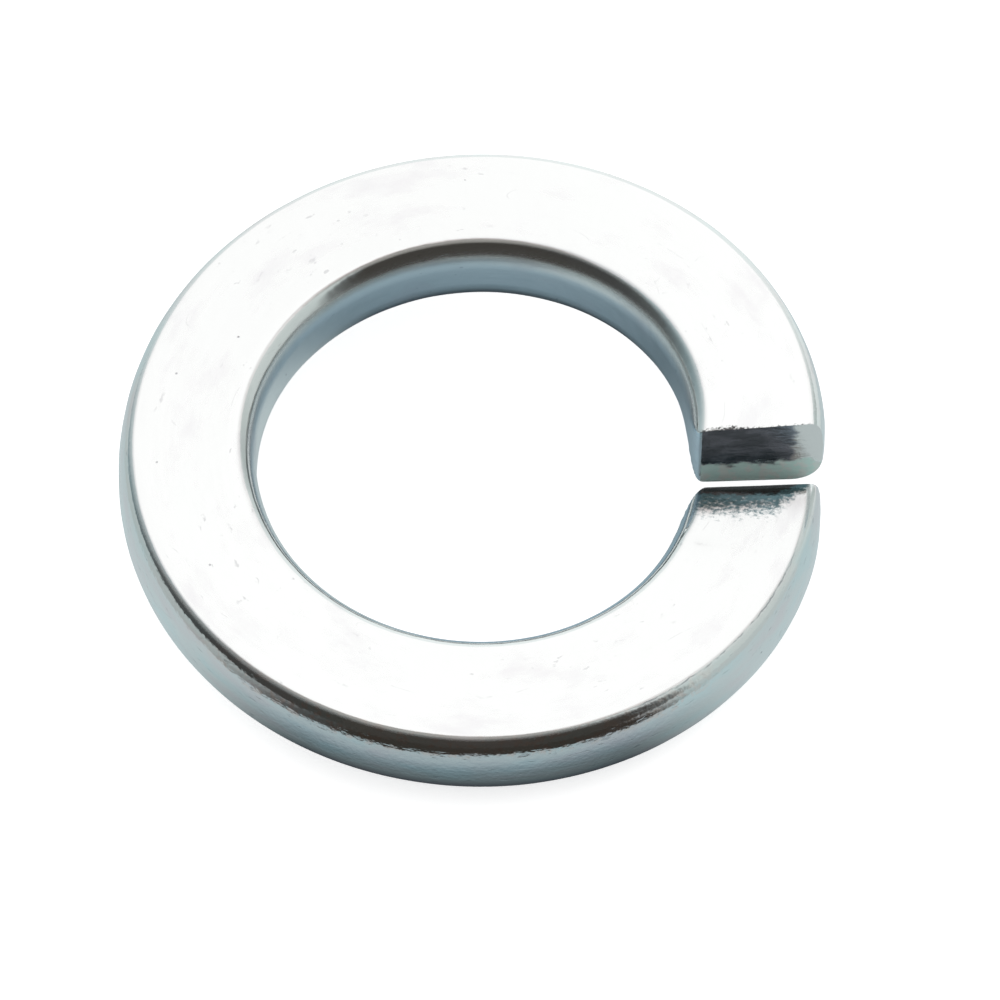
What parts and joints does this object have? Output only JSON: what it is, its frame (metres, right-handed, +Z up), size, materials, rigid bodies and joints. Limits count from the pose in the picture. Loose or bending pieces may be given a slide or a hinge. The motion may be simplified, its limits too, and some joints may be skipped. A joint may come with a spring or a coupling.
{
  "type": "spring lock washer",
  "caption": "Helical spring lock washer: a split ring of rounded rectangular wire whose ends spring apart under a nut or screw head.",
  "frame": {"origin": "on the axis of the ring, level with the lowest edge of the low end, which is what the washer lies on", "axes": "+Z up along the axis of the ring and its hole; +X from the axis through the gap between the ends; seen from above, the wire falls anticlockwise from the high end just past +X to the low end just before it"},
  "size_m": [0.0204, 0.0204, 0.0051],
  "materials": {
    "zinc_plated_spring_steel": "bright blue-white zinc plate, lightly tumbled, with fine scuffs and dull sheared ends"
  },
  "bodies": {
    "root": {"spring_washer": "zinc_plated_spring_steel"}
  },
  "joints": []
}
